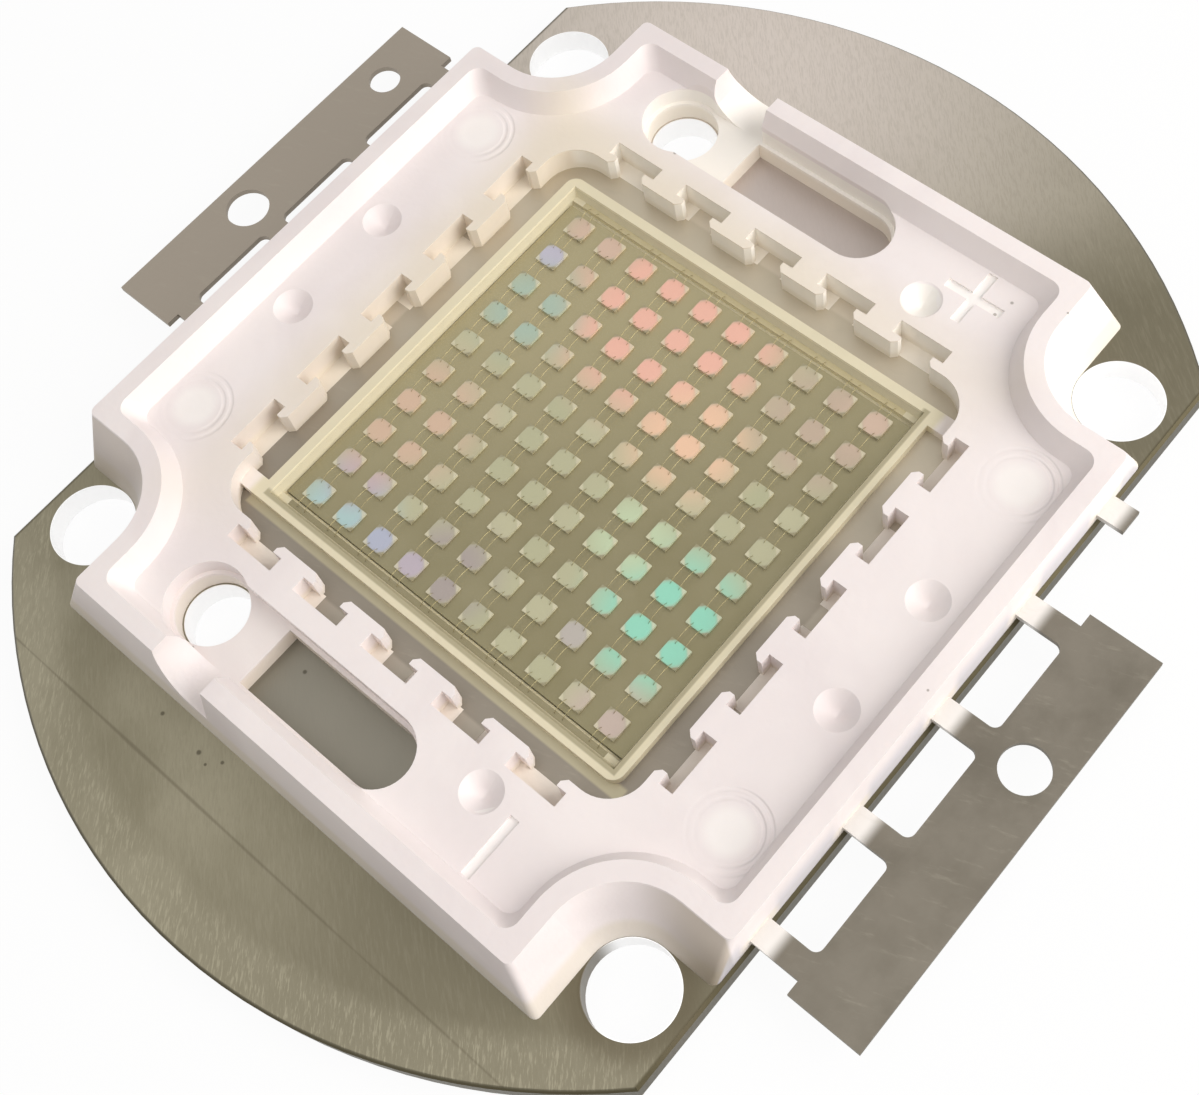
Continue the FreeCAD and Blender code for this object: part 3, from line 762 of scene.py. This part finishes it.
def film_colour(tree, x, y, column, row):
    """Colour of the film over the field: a pale green that differs by die, under the regions."""
    identity = add(tree, "CombineXYZ", column, row)
    random = add(tree, "TexWhiteNoise", identity, noise_dimensions="2D")
    colour = add(tree, "Mix", random, "#BBBC9A", "#C9C6A6", **COLOUR)
    for centre, full, gone, tone in FILM_REGIONS:
        away = distance_to(tree, x, y, centre)
        colour = paint(tree, colour, tone, add(tree, "MapRange", away, gone, full, **SMOOTH), 0.95)
    return colour


print("film regions:", len(FILM_REGIONS))

# %% Die material
def within_die(tree, value):
    """Number of the die along one direction, and the place inside it from its middle in mm."""
    steps = add(tree, "Math", value, DIE_PITCH / MM, operation="DIVIDE")
    number = add(tree, "Math", steps, operation="FLOOR")
    inside = add(tree, "Math", add(tree, "Math", steps, number, **MINUS), 0.5, **MINUS)
    return number, add(tree, "Math", inside, DIE_PITCH / MM, **TIMES)


def iridescent_die():
    """Bare die: a glossy chip with pastel film colours that drift over the field."""
    material, tree = new_material("gallium_nitride_die_polished")
    place, x, y, z = place_mm(tree)
    half = DIE_SIDE / MM / 2
    column, in_x = within_die(tree, x)
    row, in_y = within_die(tree, y)
    colour = film_colour(tree, x, y, column, row)
    middle = distance_to(tree, in_x, in_y, (0.0, 0.0))
    dull = add(tree, "MapRange", middle, half - 0.10, half + 0.12, **SMOOTH)
    colour = paint(tree, colour, "#BDBA9E", dull, 0.55)
    across = add(tree, "Math", add(tree, "Math", in_x, in_y, **MINUS), operation="ABSOLUTE")
    pads = add(tree, "MapRange", across, 1.36 * half, 1.62 * half, **SMOOTH)
    colour = paint(tree, colour, "#EFE8CC", pads, 0.5)
    other = add(tree, "Math", add(tree, "Math", in_x, in_y, operation="ADD"), operation="ABSOLUTE")
    worn = add(tree, "MapRange", other, 1.50 * half, 1.70 * half, **SMOOTH)
    colour = paint(tree, colour, "#9C9477", worn, 0.9)
    surface(tree, Base_Color=colour, Roughness=0.3, IOR=1.5)
    return material


DIE = iridescent_die()
for name in STRINGS:
    nodes[name].data.materials.clear()
    nodes[name].data.materials.append(DIE)
print("dies dressed:", len(STRINGS), "strings")

# %% [markdown]
# ## The fill: clear silicone
# A soft clear silicone covers dies and wires up to just under the dam. It is glossy, and it takes
# away some contrast, as a thin milky film would. The piece is a block round the dies. Its top is
# inset a few times, and each inset sinks a little, as a liquid does between the walls of the dam.
# True refraction would have to leave each die and wire through a face that touches it, which
# renders dark, so the block is made nearly transparent instead.

# %% Fill material
def clear_silicone():
    """Clear silicone: glossy and almost invisible, with a faint warm haze."""
    material, tree = new_material("silicone_clear_glossy")
    place = place_mm(tree)[0]
    haze = add(tree, "TexNoise", place, 1 / 5.0, 2.0)
    colour = add(tree, "Mix", haze, "#A8A27C", "#B8B292", **COLOUR)
    surface(tree, Base_Color=colour, Roughness=0.12, IOR=1.41, Alpha=0.10)
    return material


SILICONE = clear_silicone()
print("fill material:", SILICONE.name)

# %% Fill piece
CLEARANCE = 0.01 * MM           # keeps the block's faces off the dam and the seat
SAG = ((0.15, 0.05), (0.3, 0.04), (0.6, 0.02))      # inset and drop in mm, from the dam inwards


def poured_fill():
    """The fill as one block round the dies, whose top sags a little between the walls of the dam."""
    shape = bmesh.new()
    inner_low = fill_low + Vector((CLEARANCE, CLEARANCE, CLEARANCE))
    inner_high = fill_high - Vector((CLEARANCE, CLEARANCE, 0))
    bmesh.ops.create_cube(shape, size=1.0)
    bmesh.ops.scale(shape, verts=shape.verts, vec=inner_high - inner_low)
    bmesh.ops.translate(shape, verts=shape.verts, vec=(inner_high + inner_low) / 2)
    top = [face for face in shape.faces if face.normal.z > 0.5]
    for inset, drop in SAG:
        bmesh.ops.inset_region(shape, faces=top, thickness=inset * MM, use_even_offset=True)
        corners = {corner for face in top for corner in face.verts}
        bmesh.ops.translate(shape, verts=list(corners), vec=(0, 0, -drop * MM))
    mesh = bpy.data.meshes.new("fill")
    shape.to_mesh(mesh)
    shape.free()
    for polygon in mesh.polygons:
        polygon.use_smooth = True
    mesh.materials.append(SILICONE)
    piece = bpy.data.objects.new("fill", mesh)
    bpy.context.collection.objects.link(piece)
    return piece


fill = poured_fill()
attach(fill, "root")
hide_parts("silicone_fill")
print("fill from", round(fill_low.z / MM, 2), "to", round(fill_high.z / MM, 2), "mm")

# %% [markdown]
# ## Bond wires
# Two gold wires, thinner than a hair, leap from each die to the next one in its string, and from
# the end dies to the ledges of the lead frames. A curve with a round bevel would do for one wire.
# Here a small ring of corners is spun along an arc, which gives a plain mesh with few faces: one
# wire is made for each span, and copied to every gap of that span.

# %% Shape of a wire
WIRE_RADIUS = 0.0127 * MM       # wire of a thousandth of an inch
WIRE_APART = 0.5 * MM
WIRE_RISE = 0.2 * MM
WIRE_SIDES, WIRE_STEPS = 6, 8
DIE_FOOT = 0.18 * MM            # how far a foot stands in from the edge of its die
LEDGE_FOOT = 10.5 * MM          # where the end wires land on the ledges


def arc_of_wire(span):
    """A wire as an arc over a span along X, centred on the origin, with its feet at height zero."""
    radius = (span * span / 4 + WIRE_RISE * WIRE_RISE) / (2 * WIRE_RISE)
    sweep = 2 * math.asin(span / 2 / radius)
    shape = bmesh.new()
    bmesh.ops.create_circle(shape, segments=WIRE_SIDES, radius=WIRE_RADIUS)
    turn = Matrix.Rotation(math.pi / 2, 4, "Y")
    bmesh.ops.transform(shape, matrix=Matrix.Translation((0, 0, radius)) @ turn, verts=shape.verts)
    bmesh.ops.rotate(shape, verts=shape.verts, cent=(0, 0, 0), matrix=Matrix.Rotation(-sweep / 2, 3, "Y"))
    bmesh.ops.spin(shape, geom=list(shape.verts) + list(shape.edges), cent=(0, 0, 0), axis=(0, 1, 0),
                   angle=sweep, steps=WIRE_STEPS)
    bmesh.ops.translate(shape, verts=shape.verts, vec=(0, 0, WIRE_RISE - radius))
    ends = [edge for edge in shape.edges if edge.is_boundary]
    bmesh.ops.holes_fill(shape, edges=ends, sides=WIRE_SIDES)
    bmesh.ops.recalc_face_normals(shape, faces=shape.faces)
    mesh = bpy.data.meshes.new("one_wire")
    shape.to_mesh(mesh)
    shape.free()
    return mesh


def repeated(name, copies):
    """One mesh piece that holds a copy of a template mesh at each place."""
    shape = bmesh.new()
    for template, place in copies:
        before = len(shape.verts)
        shape.from_mesh(template)
        shape.verts.ensure_lookup_table()
        bmesh.ops.translate(shape, verts=shape.verts[before:], vec=place)
    mesh = bpy.data.meshes.new(name)
    shape.to_mesh(mesh)
    shape.free()
    for polygon in mesh.polygons:
        polygon.use_smooth = True
    piece = bpy.data.objects.new(name, mesh)
    bpy.context.collection.objects.link(piece)
    return piece


print("wire radius in mm:", round(WIRE_RADIUS / MM, 4))

# %% Gold
def gold():
    """Drawn gold wire: bright and warm, seen as faint threads with a glint on top."""
    material, tree = new_material("gold_wire_drawn_bright")
    place = place_mm(tree)[0]
    worn = add(tree, "TexNoise", place, 1 / 0.6)
    colour = add(tree, "Mix", worn, "#9F9268", "#C2B68C", **COLOUR)
    surface(tree, Base_Color=colour, Metallic=1.0, Roughness=0.25)
    return material


GOLD = gold()
print("wire material:", GOLD.name)

# %% Wires of every string
DIES_PER_STRING = len(STRINGS)      # the field is square
columns = [(index - (DIES_PER_STRING - 1) / 2) * DIE_PITCH for index in range(DIES_PER_STRING)]
inner_foot = columns[-1] + DIE_SIDE / 2 - DIE_FOOT
SHORT = arc_of_wire(DIE_PITCH - DIE_SIDE + 2 * DIE_FOOT)
LONG = arc_of_wire(LEDGE_FOOT - inner_foot)
gaps = [(SHORT, column + DIE_PITCH / 2) for column in columns[:-1]]
gaps += [(LONG, side * (LEDGE_FOOT + inner_foot) / 2) for side in (-1, 1)]
for name in STRINGS:
    low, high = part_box(name)
    middle_y = (low.y + high.y) / 2
    copies = [(template, (x, middle_y + side * WIRE_APART / 2, DIE_TOP))
              for template, x in gaps for side in (-1, 1)]
    wires = repeated("bond_wires_" + name[-2:], copies)
    wires.data.materials.append(GOLD)
    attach(wires, "root")
print("wires in each string:", len(copies))

# %% [markdown]
# ## Sizes at the end
# Both boxes are measured, and the largest growth of the dressed model over the engineering model is printed.
# The dressed model may not outgrow the engineering model.

# %% Measure both boxes
scene_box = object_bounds()
growth = max(abs(a - b) for one, two in zip(cad_box, scene_box) for a, b in zip(one, two))
print("largest growth in mm:", round(growth / MM, 4))
